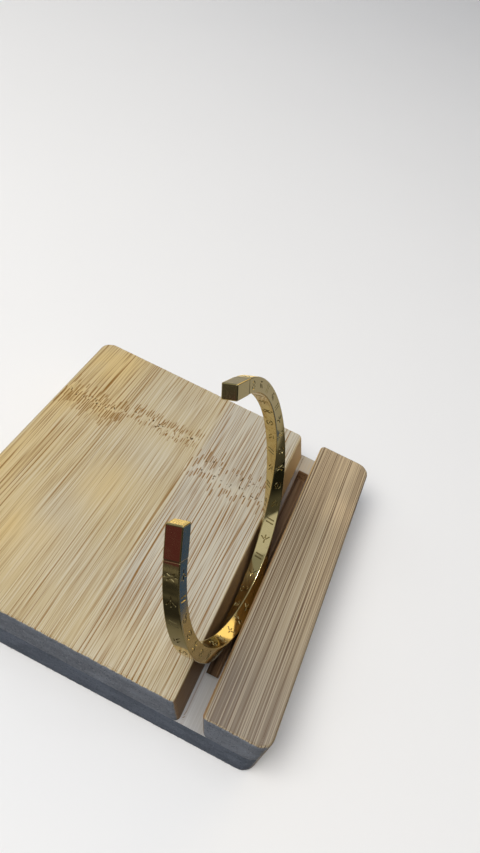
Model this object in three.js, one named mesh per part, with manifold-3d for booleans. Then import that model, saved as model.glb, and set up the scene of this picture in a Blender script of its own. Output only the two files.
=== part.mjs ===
// Twisted square-bar cuff bangle held on edge in the groove of a plain bamboo stand.
// Millimetres, +Z up. X runs across the groove, Y along it. Origin: middle of the stand's underside.
import * as THREE from 'three';
import { mergeVertices } from 'three/addons/utils/BufferGeometryUtils.js';
import Module from 'manifold-3d';

const RAD = Math.PI / 180;

// Stand: three boards glued together.
const STAND_X = 98.7;          // across the groove
const STAND_Y = 100;           // along the groove
const BOARD = 8.3;             // thickness of the base, and of the deck and bar on it
const CORNER_R = 4;            // upright corners
const EASE = 0.7;              // outer edges
const WALL_LEAN = 15;          // degrees; both groove walls lean, tops towards -X
const SLOT_L = 24.55;          // groove's left wall at the top plane
const SLOT_R = 31.65;          // groove's right wall at the top plane
const DECK_EASE = 1.3;         // rounding of the deck's edge along the groove
const BAR_EASE = 0.8;          // rounding of the bar's edge along the groove
const GROOVE_END_R = 1.5;      // upright corners where the groove runs out
const POCKET = { x0: 29.2, x1: 32.2, y0: -35.5, y1: 42.8, deep: 4 };   // cut in the groove's floor

// Cuff: one bar of square section. Its outline is a back arc, two side arcs and straight ends.
const BAND = 3.91;             // square band, face to face
const TIP = 4.02;              // plain square ends, face to face
const TIP_LEN = 8;
const NECK = 3.66;             // fine line between each end and the band
const BEVEL = 0.22;            // narrow bevel along the four ridges
const BACK_R = 34.9;
const BACK_HALF = 25.8;          // degrees each side of the middle
const SIDE_R = 31.3;
const SIDE_ARC = 112.5;        // degrees
const TWIST = 180;             // the bar makes a half turn on its own axis, through the back
const TWIST_LEN = 66;          // from the twist's middle to where it ends, each way
const TWIST_SHIFT = 2.7;       // middle of the twist, along the bar
const LEAN = 22.6;              // the cuff's plane leans towards -X
const TURN = 16.8;             // and is turned in that plane, far end up
const YAW = 1;
const MID = [29.27, -2.79, 12.59];                                     // middle of the back

const wasm = await Module();
wasm.setup();

function toSolid(geometry) {
  const g = geometry.index ? geometry.clone() : geometry;
  g.deleteAttribute('normal');
  g.deleteAttribute('uv');
  const merged = mergeVertices(g, 1e-5);
  return new wasm.Manifold(new wasm.Mesh({
    numProp: 3,
    vertProperties: new Float32Array(merged.attributes.position.array),
    triVerts: new Uint32Array(merged.index.array),
  }));
}

function toGeometry(solid) {
  const mesh = solid.getMesh();
  const g = new THREE.BufferGeometry();
  g.setAttribute('position', new THREE.BufferAttribute(new Float32Array(mesh.vertProperties), 3));
  g.setIndex(new THREE.BufferAttribute(new Uint32Array(mesh.triVerts), 1));
  g.computeVertexNormals();
  return g;
}

function box(x0, x1, y0, y1, z0, z1) {
  const g = new THREE.BoxGeometry(x1 - x0, y1 - y0, z1 - z0);
  g.translate((x0 + x1) / 2, (y0 + y1) / 2, (z0 + z1) / 2);
  return toSolid(g);
}

// Full block of the stand, with rounded upright corners and eased edges above and below.
function standBlock() {
  const hx = STAND_X / 2;
  const hy = STAND_Y / 2;
  const s = new THREE.Shape();
  s.moveTo(-hx + CORNER_R, -hy);
  s.lineTo(hx - CORNER_R, -hy);
  s.absarc(hx - CORNER_R, -hy + CORNER_R, CORNER_R, -Math.PI / 2, 0, false);
  s.lineTo(hx, hy - CORNER_R);
  s.absarc(hx - CORNER_R, hy - CORNER_R, CORNER_R, 0, Math.PI / 2, false);
  s.lineTo(-hx + CORNER_R, hy);
  s.absarc(-hx + CORNER_R, hy - CORNER_R, CORNER_R, Math.PI / 2, Math.PI, false);
  s.lineTo(-hx, -hy + CORNER_R);
  s.absarc(-hx + CORNER_R, -hy + CORNER_R, CORNER_R, Math.PI, 1.5 * Math.PI, false);
  const g = new THREE.ExtrudeGeometry(s, {
    depth: 2 * BOARD - 2 * EASE,
    curveSegments: 8,
    bevelEnabled: true,
    bevelThickness: EASE,
    bevelSize: EASE,
    bevelOffset: -EASE,
    bevelSegments: 3,
  });
  g.translate(0, 0, EASE);
  return toSolid(g);
}

// The groove as a long prism: leaning walls, rounded over where they meet the top plane.
function groovePrism() {
  const top = 2 * BOARD;
  const slope = Math.tan(WALL_LEAN * RAD);
  const pts = [];
  const wallX = (edge, z) => edge + (top - z) * slope;
  pts.push([wallX(SLOT_L, BOARD - 1), BOARD - 1]);
  // left edge: the deck's corner is blunt (90 + lean), its arc runs from the wall to the top plane
  const cl = [wallX(SLOT_L, top - DECK_EASE) - DECK_EASE / Math.cos(WALL_LEAN * RAD), top - DECK_EASE];
  for (let i = 0; i <= 5; i += 1) {
    const a = (WALL_LEAN + (90 - WALL_LEAN) * (i / 5)) * RAD;
    pts.push([cl[0] + DECK_EASE * Math.cos(a), cl[1] + DECK_EASE * Math.sin(a)]);
  }
  pts.push([cl[0], top + 5]);
  // right edge: the bar's corner is sharp (90 - lean)
  const cr = [wallX(SLOT_R, top - BAR_EASE) + BAR_EASE / Math.cos(WALL_LEAN * RAD), top - BAR_EASE];
  pts.push([cr[0], top + 5]);
  for (let i = 0; i <= 5; i += 1) {
    const a = (90 + (90 + WALL_LEAN) * (i / 5)) * RAD;
    pts.push([cr[0] + BAR_EASE * Math.cos(a), cr[1] + BAR_EASE * Math.sin(a)]);
  }
  pts.push([wallX(SLOT_R, BOARD - 1), BOARD - 1]);
  const g = new THREE.ExtrudeGeometry(new THREE.Shape(pts.map((p) => new THREE.Vector2(p[0], p[1]))), {
    depth: STAND_Y + 20,
    bevelEnabled: false,
  });
  g.rotateX(Math.PI / 2);
  g.translate(0, STAND_Y / 2 + 10, 0);
  return toSolid(g);
}

// Upright prism with one leaning side, x = edge at the top plane; its two corners there are rounded.
function leaningPrism(edge, away) {
  const hy = STAND_Y / 2;
  const r = GROOVE_END_R;
  const sign = Math.sign(edge - away);
  const cx = edge - sign * r;
  const pts = [new THREE.Vector2(away, -hy), new THREE.Vector2(cx, -hy)];
  for (let i = 1; i <= 5; i += 1) {
    const a = (Math.PI / 2) * (i / 5);
    pts.push(new THREE.Vector2(cx + sign * r * Math.sin(a), -hy + r - r * Math.cos(a)));
  }
  for (let i = 0; i <= 5; i += 1) {
    const a = (Math.PI / 2) * (i / 5);
    pts.push(new THREE.Vector2(cx + sign * r * Math.cos(a), hy - r + r * Math.sin(a)));
  }
  pts.push(new THREE.Vector2(away, hy));
  const g = new THREE.ExtrudeGeometry(new THREE.Shape(pts), { depth: 30, bevelEnabled: false });
  const slope = Math.tan(WALL_LEAN * RAD);
  const shear = new THREE.Matrix4().set(1, 0, -slope, 2 * BOARD * slope, 0, 1, 0, 0, 0, 0, 1, 0, 0, 0, 0, 1);
  g.applyMatrix4(shear);
  return toSolid(g);
}

// Centre line of the cuff in its own plane. x runs along the back, y towards the gap.
const BACK_LEN = BACK_R * BACK_HALF * RAD;
const SIDE_LEN = SIDE_R * SIDE_ARC * RAD;
const HALF_LEN = BACK_LEN + SIDE_LEN + TIP_LEN;

function centreLine(s) {
  const side = Math.sign(s) || 1;
  const t = Math.abs(s);
  const a1 = Math.min(t, BACK_LEN) / BACK_R;
  let x = BACK_R * Math.sin(a1);
  let y = BACK_R * (1 - Math.cos(a1));
  let psi = a1;
  if (t > BACK_LEN) {
    const a2 = psi + Math.min(t - BACK_LEN, SIDE_LEN) / SIDE_R;
    x += SIDE_R * (Math.sin(a2) - Math.sin(psi));
    y += SIDE_R * (Math.cos(psi) - Math.cos(a2));
    psi = a2;
  }
  if (t > BACK_LEN + SIDE_LEN) {
    const run = t - BACK_LEN - SIDE_LEN;
    x += run * Math.cos(psi);
    y += run * Math.sin(psi);
  }
  return { x: side * x, y, psi: side * psi };
}

function twistAt(s) {
  const t = Math.max(-1, Math.min(1, (s - TWIST_SHIFT) / TWIST_LEN));
  return (-TWIST / 2) * RAD * Math.sin((Math.PI / 2) * t);
}

// One ring of eight points: a square of the given width with its four ridges bevelled.
function ring(s, width, bevel) {
  const c = centreLine(s);
  const normal = new THREE.Vector3(Math.sin(c.psi), -Math.cos(c.psi), 0);
  const across = new THREE.Vector3(0, 0, 1);
  const h = width / 2;
  const q = h - bevel;
  const corners = [[h, -q], [h, q], [q, h], [-q, h], [-h, q], [-h, -q], [-q, -h], [q, -h]];
  const a = twistAt(s);
  return corners.map(([p, r]) => {
    const pn = p * Math.cos(a) - r * Math.sin(a);
    const pa = p * Math.sin(a) + r * Math.cos(a);
    return new THREE.Vector3(c.x, c.y, 0).addScaledVector(normal, pn).addScaledVector(across, pa);
  });
}

function cuffGeometry() {
  const rings = [];
  const add = (s, width, bevel) => rings.push(ring(s, width, bevel));
  const bandEnd = HALF_LEN - TIP_LEN;
  add(-HALF_LEN, TIP - 2 * BEVEL, BEVEL * 0.6);
  add(-HALF_LEN + BEVEL, TIP, BEVEL);
  add(-bandEnd - 0.5, TIP, BEVEL);
  add(-bandEnd - 0.3, NECK, BEVEL);
  add(-bandEnd - 0.1, NECK, BEVEL);
  const steps = 150;
  for (let i = 0; i <= steps; i += 1) {
    add(-bandEnd + 0.1 + ((2 * bandEnd - 0.2) * i) / steps, BAND, BEVEL);
  }
  add(bandEnd + 0.1, NECK, BEVEL);
  add(bandEnd + 0.3, NECK, BEVEL);
  add(bandEnd + 0.5, TIP, BEVEL);
  add(HALF_LEN - BEVEL, TIP, BEVEL);
  add(HALF_LEN, TIP - 2 * BEVEL, BEVEL * 0.6);
  const pos = [];
  rings.forEach((r) => r.forEach((p) => pos.push(p.x, p.y, p.z)));
  const index = [];
  for (let i = 0; i + 1 < rings.length; i += 1) {
    for (let k = 0; k < 8; k += 1) {
      const a = i * 8 + k;
      const b = i * 8 + ((k + 1) % 8);
      index.push(a, a + 8, b);
      index.push(b, a + 8, b + 8);
    }
  }
  const last = (rings.length - 1) * 8;
  for (let k = 1; k < 7; k += 1) {
    index.push(0, k, k + 1);
    index.push(last, last + k + 1, last + k);
  }
  const g = new THREE.BufferGeometry();
  g.setAttribute('position', new THREE.BufferAttribute(new Float32Array(pos), 3));
  g.setIndex(index);
  return g;
}

// Stands the cuff on its back, leaning in the groove.
function seatCuff(g) {
  const lean = LEAN * RAD;
  const u = new THREE.Vector3(0, 1, 0);
  const v = new THREE.Vector3(-Math.sin(lean), 0, Math.cos(lean));
  const n = new THREE.Vector3(Math.cos(lean), 0, Math.sin(lean));
  const m = new THREE.Matrix4().makeBasis(u, v, n);
  m.multiply(new THREE.Matrix4().makeRotationZ(TURN * RAD));
  m.premultiply(new THREE.Matrix4().makeRotationZ(YAW * RAD));
  m.setPosition(...MID);
  g.applyMatrix4(m);
  return g;
}

const block = standBlock();
const lower = block.intersect(box(-60, 60, -60, 60, -5, BOARD));
const pocket = box(POCKET.x0, POCKET.x1, POCKET.y0, POCKET.y1, BOARD - POCKET.deep, BOARD + 1);
const base = lower.subtract(pocket);
const upper = block.intersect(box(-60, 60, -60, 60, BOARD, 30)).subtract(groovePrism());
const boards = upper.decompose().sort((p, q) => q.volume() - p.volume());
const deckPlan = box(-60, 10, -60, 60, 0, 30).add(leaningPrism(SLOT_L, 0));
const barPlan = box(40, 60, -60, 60, 0, 30).add(leaningPrism(SLOT_R, 46));
const deck = boards[0].intersect(deckPlan);
const bar = boards[1].intersect(barPlan);
const cuff = toSolid(seatCuff(cuffGeometry()));

const group = new THREE.Group();

function addMesh(name, solid, material) {
  const mesh = new THREE.Mesh(toGeometry(solid), material);
  mesh.name = name;
  group.add(mesh);
}

addMesh('cuff', cuff, new THREE.MeshStandardMaterial({ color: 0xd9a441, metalness: 1, roughness: 0.12 }));
addMesh('stand_base', base, new THREE.MeshStandardMaterial({ color: 0xbfa98a, roughness: 0.6 }));
addMesh('stand_deck', deck, new THREE.MeshStandardMaterial({ color: 0xd6c2a0, roughness: 0.55 }));
addMesh('stand_bar', bar, new THREE.MeshStandardMaterial({ color: 0xcfb692, roughness: 0.55 }));

export default group;
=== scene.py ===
"""Looks of a gold cuff, a twisted square bar, held on edge in the groove of a plain bamboo stand.

Shapes are worked out in millimetres in the part's own frame: x across the groove, y along it and
z up. Noise scales are in steps per metre along x, y and z.
"""

from math import cos, pi, radians, sin, tan

import bpy
import numpy as np
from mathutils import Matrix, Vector, geometry


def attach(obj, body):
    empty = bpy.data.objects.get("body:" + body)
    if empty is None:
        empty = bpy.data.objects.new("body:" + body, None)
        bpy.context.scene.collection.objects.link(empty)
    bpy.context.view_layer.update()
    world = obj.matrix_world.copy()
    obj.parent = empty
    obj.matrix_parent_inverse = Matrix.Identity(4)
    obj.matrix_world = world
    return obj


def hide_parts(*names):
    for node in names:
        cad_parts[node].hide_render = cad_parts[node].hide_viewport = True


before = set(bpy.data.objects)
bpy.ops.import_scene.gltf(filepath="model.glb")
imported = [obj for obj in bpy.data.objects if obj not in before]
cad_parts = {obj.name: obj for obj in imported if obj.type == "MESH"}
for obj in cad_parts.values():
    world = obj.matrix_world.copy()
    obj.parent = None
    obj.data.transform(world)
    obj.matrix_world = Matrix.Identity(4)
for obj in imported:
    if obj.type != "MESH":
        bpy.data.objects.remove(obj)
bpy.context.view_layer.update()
MM = 0.001
WANDER = 26                      # how far the bamboo's lines wander, in radians of their pitch


# ---------------- helpers

def rgb(tone, factor=1.0):
    """A colour given as 0 to 255 display values, times a factor, made linear."""
    out = []
    for c in tone:
        c = min(255, c * factor) / 255
        out.append(c / 12.92 if c <= 0.04045 else ((c + 0.055) / 1.055) ** 2.4)
    return (*out, 1.0)


def smooth(t):
    """A soft step from 0 to 1, as t goes from 0 to 1."""
    t = np.clip(t, 0, 1)
    return t * t * (3 - 2 * t)


class Nodes:
    """Short ways to lay out shader nodes in one tree."""

    def __init__(self, tree):
        self.tree = tree

    def add(self, kind, props=None, **inputs):
        """A new node. Inputs are given by name, with _ for a space, or by number as i0, i1."""
        node = self.tree.nodes.new("ShaderNode" + kind)
        for key, value in (props or {}).items():
            setattr(node, key, value)
        for key, value in inputs.items():
            socket = int(key[1:]) if key[1:].isdigit() else key.replace("_", " ")
            self.put(node.inputs[socket], value)
        return node

    def put(self, socket, value):
        """Link another socket into an input, or set the input to a plain value."""
        if isinstance(value, bpy.types.NodeSocket):
            self.tree.links.new(value, socket)
        else:
            socket.default_value = value

    def coordinates(self, kind="Object"):
        return self.add("TexCoord").outputs[kind]

    def component(self, vector, axis):
        return self.add("SeparateXYZ", Vector=vector).outputs[axis]

    def attribute(self, name):
        return self.add("Attribute", {"attribute_name": name}).outputs["Fac"]

    def math(self, operation, a, b=0.0):
        return self.add("Math", {"operation": operation}, i0=a, i1=b).outputs[0]

    def times(self, a, b):
        return self.math("MULTIPLY", a, b)

    def plus(self, a, b):
        return self.math("ADD", a, b)

    def minus(self, a, b):
        return self.math("SUBTRACT", a, b)

    def mix(self, factor, a, b):
        node = self.add("Mix", {"data_type": "RGBA"}, i0=factor, i6=a, i7=b)
        return node.outputs[2]

    def ramp(self, value, low, high, out_low=0.0, out_high=1.0):
        """A soft step in value from low to high, which goes from out_low to out_high."""
        return self.add("MapRange", {"interpolation_type": "SMOOTHSTEP"}, Value=value,
                        i1=low, i2=high, i3=out_low, i4=out_high).outputs[0]

    def stretched(self, scale, place=None):
        """The object's own coordinates, or another place, with a scale for each axis."""
        if place is None:
            place = self.coordinates()
        return self.add("Mapping", Vector=place, Scale=scale).outputs[0]

    def noise(self, scale, detail=0.0, rough=0.5, distortion=0.0, place=None):
        """Noise of 0 to 1, with a scale for each axis."""
        return self.add("TexNoise", Vector=self.stretched(scale, place), Scale=1.0, Detail=detail,
                        Roughness=rough, Distortion=distortion).outputs[0]

    def swaying(self, sway):
        """Object coordinates that sway sideways by so many metres, as fibres do."""
        at = self.add("SeparateXYZ", Vector=self.coordinates()).outputs
        drift = self.times(self.minus(self.noise((110, 22, 110), 1), 0.5), sway)
        return self.add("CombineXYZ", X=self.plus(at[0], drift), Y=at[1], Z=at[2]).outputs[0]

    def rows(self, place, pitch, length, sharp):
        """Nearly even thin lines along y, pitch millimetres apart, from 0 to 1. They wander
        sideways, fade in and out length times a metre, and are as thin as sharp says."""
        phase = self.times(self.component(place, 0), 2 * pi / (pitch * MM))
        wander = self.times(self.noise((260 / pitch, 7, 260), 2, place=place), WANDER)
        wave = self.math("SINE", self.plus(phase, wander))
        fade = self.noise((1100 / pitch, length, 1100), 1, place=place)
        return self.times(self.ramp(wave, *sharp), self.ramp(fade, 0.34, 0.60, 0.12, 1.0))


class Material(Nodes):
    """A node material around one Principled shader."""

    def __init__(self, name, **values):
        self.mat = bpy.data.materials.new(name)
        self.mat.use_nodes = True
        super().__init__(self.mat.node_tree)
        self.shader = self.tree.nodes["Principled BSDF"]
        self.set(**values)

    def set(self, **inputs):
        for key, value in inputs.items():
            self.put(self.shader.inputs[key.replace("_", " ")], value)

    def bump(self, height, distance, strength):
        node = self.add("Bump", Height=height, Distance=distance, Strength=strength)
        self.set(Normal=node.outputs[0])


def make_mesh(name, points, faces, materials, kinds, attributes=None):
    """A smooth mesh object from points in millimetres; kinds gives each face's material."""
    mesh = bpy.data.meshes.new(name)
    mesh.from_pydata((np.asarray(points) * MM).tolist(), [], faces)
    for material in materials:
        mesh.materials.append(material)
    mesh.polygons.foreach_set("material_index", np.asarray(kinds, np.int32))
    mesh.polygons.foreach_set("use_smooth", np.ones(len(mesh.polygons), bool))
    for key, values in (attributes or {}).items():
        layer = mesh.attributes.new(key, "FLOAT", "POINT")
        layer.data.foreach_set("value", np.asarray(values, np.float32))
    mesh.update()
    obj = bpy.data.objects.new(name, mesh)
    bpy.context.scene.collection.objects.link(obj)
    return obj


# ---------------- the stand's boards

STAND_X, STAND_Y, BOARD = 98.7, 100.0, 8.3
EDGE_X, TOP = STAND_X / 2, 2 * BOARD
SLOT_L, SLOT_R = 24.55, 31.65    # the groove's two top edges
DECK_LEAN, BAR_LEAN = radians(20), radians(15)
CORNER_R, GROOVE_END_R = 4.0, 1.5
EASE, DECK_EASE, BAR_EASE = 0.7, 0.9, 0.8
GLUE = 0.1                       # tiny easing along the glue line
STRAIGHT = STAND_Y / 2 - CORNER_R
END_REACH = 1.5                  # points this close to a board's end plane are on its end face
CORNER_STEPS, FOOT_STEPS, WALL_STEPS, EASE_STEPS = 8, 3, 7, 5


def edge_levels(z0, z1, low, high, edge=0.0, faces=1, lean=0.0):
    """A board's edge as levels of height, sideways shift and outward offset, from its underside
    up, with easings of radius low and high. A groove wall meets the stand's top plane at
    x = edge, leans, and faces +x or -x as faces says."""
    slope = tan(lean)
    levels = []
    for i in range(FOOT_STEPS + 1):
        a = pi / 2 * i / FOOT_STEPS
        levels.append([z0 + low * (1 - cos(a)), -low * (1 - sin(a))])
    first = lean * faces
    foot, head = z0 + low, z1 - high + high * sin(first)
    for i in range(1, WALL_STEPS):
        levels.append([foot + (head - foot) * i / WALL_STEPS, 0.0])
    centre = edge + high * slope - faces * high / cos(lean)
    for i in range(EASE_STEPS + 1):
        a = first + (pi / 2 - first) * i / EASE_STEPS
        z = z1 - high + high * sin(a)
        x = centre + faces * high * cos(a)
        levels.append([z, faces * (x - edge - (TOP - z) * slope)])
    return np.array([[z, (TOP - z) * slope, offset] for z, offset in levels])


def side_points(side, x, radius, profile, ends, level, along):
    """One side of a board at one level: its near corner, its straight run and its far corner."""
    z, shift, offset = profile[level]
    end_z, _, end_offset = ends[level]
    turn = np.linspace(0, pi / 2, CORNER_STEPS + 1)
    centre_x = x + shift - side * radius
    side_x = centre_x + side * (radius + offset)
    near_y = radius - STAND_Y / 2
    corner_x = centre_x + side * (radius + offset) * np.sin(turn)
    corner_y = near_y - (radius + end_offset) * np.cos(turn)
    corner_z = end_z + (z - end_z) * np.sin(turn) ** 2
    run = near_y - 2 * near_y * along[1:-1]
    return np.stack([np.concatenate([corner_x, np.full(len(run), side_x), corner_x[::-1]]),
                     np.concatenate([corner_y, run, -corner_y[::-1]]),
                     np.concatenate([corner_z, np.full(len(run), z), corner_z[::-1]])], 1)


def board_grid(left, right, ends, level, along, across):
    """Points over a whole board at one level; each side is its x, corner radius and levels."""
    a = side_points(-1, *left, ends, level, along)[:, None]
    b = side_points(1, *right, ends, level, along)[:, None]
    share = across[None, :, None]
    return a * (1 - share) + b * share


def border(rows, cols):
    """Row and column numbers round a grid's edge, in order."""
    near = [(0, i) for i in range(cols)]
    right = [(j, cols - 1) for j in range(1, rows)]
    far = [(rows - 1, i) for i in range(cols - 2, -1, -1)]
    left = [(j, 0) for j in range(rows - 2, 0, -1)]
    return tuple(np.array(near + right + far + left).T)


class Shell:
    """Points, faces and material numbers of one mesh, gathered bit by bit."""

    def __init__(self):
        self.points = np.zeros((0, 3))
        self.faces, self.kinds = [], []

    def add(self, points):
        """Take points in, and return their numbers in the same layout."""
        first = len(self.points)
        self.points = np.concatenate([self.points, points.reshape(-1, 3)])
        return np.arange(first, len(self.points)).reshape(points.shape[:-1])

    def quads(self, a, b, c, d, kind=0):
        self.faces += np.stack([a, b, c, d], -1).reshape(-1, 4).tolist()
        self.kinds += [kind] * a.size

    def belt(self, lower, upper, kind=0):
        """Quads between two closed loops."""
        self.quads(lower, np.roll(lower, -1), np.roll(upper, -1), upper, kind)

    def face(self, numbers):
        self.faces.append([int(n) for n in numbers])
        self.kinds.append(0)


def saw_marks(loop, share):
    """Depth of the saw marks on the end faces, a few hundredths. The edges have none: share is
    the level's place between underside and top."""
    x, z = loop[:, 0], loop[:, 2]
    wave = np.sin(x * 2.9 + 3 * np.sin(z * 1.7)) + 0.6 * np.sin(x * 7.3 + z * 2.1)
    wave += 0.5 * np.sin(x * 0.7)
    return 0.02 * (wave + 2.1) * (0.1 < share < 0.9)


def cut_pocket(shell, top, ids, cells, steps):
    """Walls and floor of a pocket under a block of cells. Each of its wall's steps is an inset
    and a height."""
    j0, j1, i0, i1 = cells
    block = top[j0:j1 + 1, i0:i1 + 1]
    edge = border(*block.shape[:2])
    centre = block.reshape(-1, 3).mean(0)[:2]
    half = np.abs(block[..., :2] - centre).max((0, 1))

    def sunk(inset, z):
        out = block.copy()
        out[..., :2] = centre + (block[..., :2] - centre) * (1 - inset / half)
        out[..., 2] = z
        return out

    upper = ids[j0:j1 + 1, i0:i1 + 1][edge]
    for step in steps:
        lower = shell.add(sunk(*step)[edge])
        shell.belt(upper, lower, 1)
        upper = lower
    floor = np.zeros(block.shape[:2], int)
    floor[edge] = upper
    floor[1:-1, 1:-1] = shell.add(sunk(*steps[-1])[1:-1, 1:-1])
    shell.quads(floor[:-1, :-1], floor[:-1, 1:], floor[1:, 1:], floor[1:, :-1], 1)


def close_underside(shell, grid, ring, rim, gridded):
    """The underside inside its rim: long strips, or a grid like the top's."""
    under = np.zeros(grid.shape[:2], int)
    under[ring] = rim
    if gridded:
        under[1:-1, 1:-1] = shell.add(grid[1:-1, 1:-1])
        shell.quads(under[:-1, :-1], under[1:, :-1], under[1:, 1:], under[:-1, 1:])
    else:
        shell.quads(under[1:-2, 0], under[2:-1, 0], under[2:-1, -1], under[1:-2, -1])
        shell.face([*under[0, ::-1], under[1, 0], under[1, -1]])
        shell.face([*under[-1], under[-2, -1], under[-2, 0]])


def finished(name, shell, materials, attributes):
    """The shell as a mesh object, without the points that no face uses. Attributes are given for
    its first points and are 0 at the rest."""
    used = np.zeros(len(shell.points), bool)
    for face in shell.faces:
        used[face] = True
    number = np.cumsum(used) - 1
    faces = [number[face].tolist() for face in shell.faces]
    values = {}
    for key, value in attributes.items():
        full = np.zeros(len(shell.points))
        full[:value.size] = value.reshape(-1)
        values[key] = full[used]
    return make_mesh(name, shell.points[used], faces, materials, shell.kinds, values)


def build_board(name, left, right, ends, along, across, relief, materials,
                pocket=None, gridded=False):
    """A board as one closed mesh. relief(x, y) gives the top's depth and its attributes, and a
    pocket is the block of cells that it opens and its wall's steps."""
    shell = Shell()
    grids = [board_grid(left, right, ends, level, along, across) for level in range(len(ends))]
    top = grids[-1]
    depth, attributes = relief(top[..., 0], top[..., 1])
    top[1:-1, 1:-1, 2] -= depth[1:-1, 1:-1]
    ids = shell.add(top)
    ring = border(*ids.shape)
    keep = np.ones((ids.shape[0] - 1, ids.shape[1] - 1), bool)
    if pocket:
        j0, j1, i0, i1 = pocket[0]
        keep[j0:j1, i0:i1] = False
    shell.quads(ids[:-1, :-1][keep], ids[:-1, 1:][keep], ids[1:, 1:][keep], ids[1:, :-1][keep])
    upper = ids[ring]
    for level in range(len(ends) - 2, -1, -1):
        loop = grids[level][ring]
        on_end = np.abs(loop[:, 1]) > STAND_Y / 2 - END_REACH
        loop[:, 1] -= np.sign(loop[:, 1]) * on_end * saw_marks(loop, level / (len(ends) - 1))
        lower = shell.add(loop)
        shell.belt(lower, upper)
        upper = lower
    close_underside(shell, grids[0], ring, upper, gridded)
    if pocket:
        cut_pocket(shell, top, ids, *pocket)
    return finished(name, shell, materials, attributes)


# ---------------- bamboo grain as relief, with tones that paint light and shade in places

RUN = 140                        # a mark this long runs along the whole board


class GrainAndPaintedLight:
    """Layers of grain on a regular plan grid, sampled later at any point: brown fibre marks,
    calm places without lines, pits, and pale, gold and grey tones, which in places are painted
    light and shade."""

    def __init__(self, u0, u1, du, dv, seed):
        self.u = np.arange(u0, u1 + du, du)
        self.v = np.arange(-STAND_Y / 2 - 1, STAND_Y / 2 + 1 + dv, dv)
        self.rng = np.random.default_rng(seed)
        self.layers = {key: np.zeros((len(self.v), len(self.u)))
                       for key in ("fibre", "calm", "pit", "pale", "gold", "grey")}

    def mark(self, layer, x, y, length, width, tone, sway=0.0):
        """One thin mark along the grain, swaying sideways by a few tenths."""
        u, v, field = self.u, self.v, self.layers[layer]
        du = u[1] - u[0]
        j0, j1 = np.searchsorted(v, [y - length / 2, y + length / 2])
        first = int((x - u[0] - 2.5 * width - sway * 1.5) / du)
        last = int((x - u[0] + 2.5 * width + sway * 1.5) / du) + 2
        i = np.arange(max(first, 0), min(last, len(u)))
        if j0 == j1 or len(i) == 0:
            return
        rows = v[j0:j1]
        drift = sway * (np.sin(rows / 17 + x / 31) + 0.5 * np.sin(rows / 6.1 + x / 13 + 1.7))
        run = np.clip((1 - np.abs(rows - y) / (length / 2)) * 3, 0, 1) ** 0.7
        across = (u[i][None] - x - drift[:, None]) / width
        shape = tone * run[:, None] * np.exp(-(across ** 2))
        field[j0:j1, i] = np.maximum(field[j0:j1, i], shape)

    def dashes(self, span, pitch, centre, spread, lengths, widths, tones, sway):
        """A row of dashes side by side across a strip, round the line y = centre(x)."""
        rng = self.rng
        x = span[0] + rng.uniform(0, pitch)
        while x < span[1]:
            y = float(centre(x)) + rng.normal(0, spread)
            length, width, tone = rng.uniform(*lengths), rng.uniform(*widths), rng.uniform(*tones)
            self.mark("fibre", x, y, length, width, tone, sway)
            x += pitch * rng.uniform(0.6, 1.4)

    def pits(self, layer, count, span, centre, spread, widths, heights):
        """Small leaning pits strewn along the line y = centre(x)."""
        rng, u, v, field = self.rng, self.u, self.v, self.layers[layer]
        for _ in range(count):
            x = rng.uniform(*span)
            y = float(centre(x)) + rng.normal(0, spread)
            width, height = rng.uniform(*widths), rng.uniform(*heights)
            lean = rng.uniform(-0.6, 0.6)
            i = np.nonzero(np.abs(u - x) < 1.5)[0]
            j = np.nonzero(np.abs(v - y) < 2.6)[0]
            dy = (v[j] - y)[:, None]
            dx = u[i][None] - x - lean * dy - 0.35 * lean * dy * dy
            pit = rng.uniform(0.6, 1) * np.exp(-((dx / width) ** 2) - (dy / height) ** 2)
            field[np.ix_(j, i)] = np.maximum(field[np.ix_(j, i)], pit)

    def blots(self, layer, *places):
        """Soft patches, each given by its x, y, two radii and amount."""
        for x, y, rx, ry, amount in places:
            far = ((self.u[None, :] - x) / rx) ** 2 + ((self.v[:, None] - y) / ry) ** 2
            self.layers[layer] += amount * np.exp(-far)

    def sample(self, x, y):
        """Every layer at these points."""
        a = np.clip((x - self.u[0]) / (self.u[1] - self.u[0]), 0, len(self.u) - 1.001)
        b = np.clip((y - self.v[0]) / (self.v[1] - self.v[0]), 0, len(self.v) - 1.001)
        i, j = a.astype(int), b.astype(int)
        s, t = a - i, b - j
        return {key: ((f[j, i] * (1 - s) + f[j, i + 1] * s) * (1 - t)
                      + (f[j + 1, i] * (1 - s) + f[j + 1, i + 1] * s) * t)
                for key, f in self.layers.items()}


# ---------------- bamboo as a material

def end_grain_and_shade(m, colour, tone, mask, wobble):
    """The end faces' speckled grain, laid where the mask is, in a dark bluish grey that is partly
    painted shade.
    """
    dots = m.add("TexVoronoi", Vector=m.stretched((1300, 1300, 1300)), Scale=1.0).outputs[0]
    cloud = m.noise((150, 150, 420), 4, 0.6)
    ends = m.mix(m.ramp(cloud, 0.35, 0.65), rgb(tone, 0.93), rgb(tone, 1.08))
    ends = m.mix(m.ramp(dots, 0.36, 0.10, 0.0, 0.7), ends, rgb(tone, 0.66))
    ends = m.mix(m.ramp(wobble, 0.54, 0.70, 0.0, 0.6), ends, rgb(tone, 1.3))
    return m.mix(mask, colour, ends)


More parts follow.
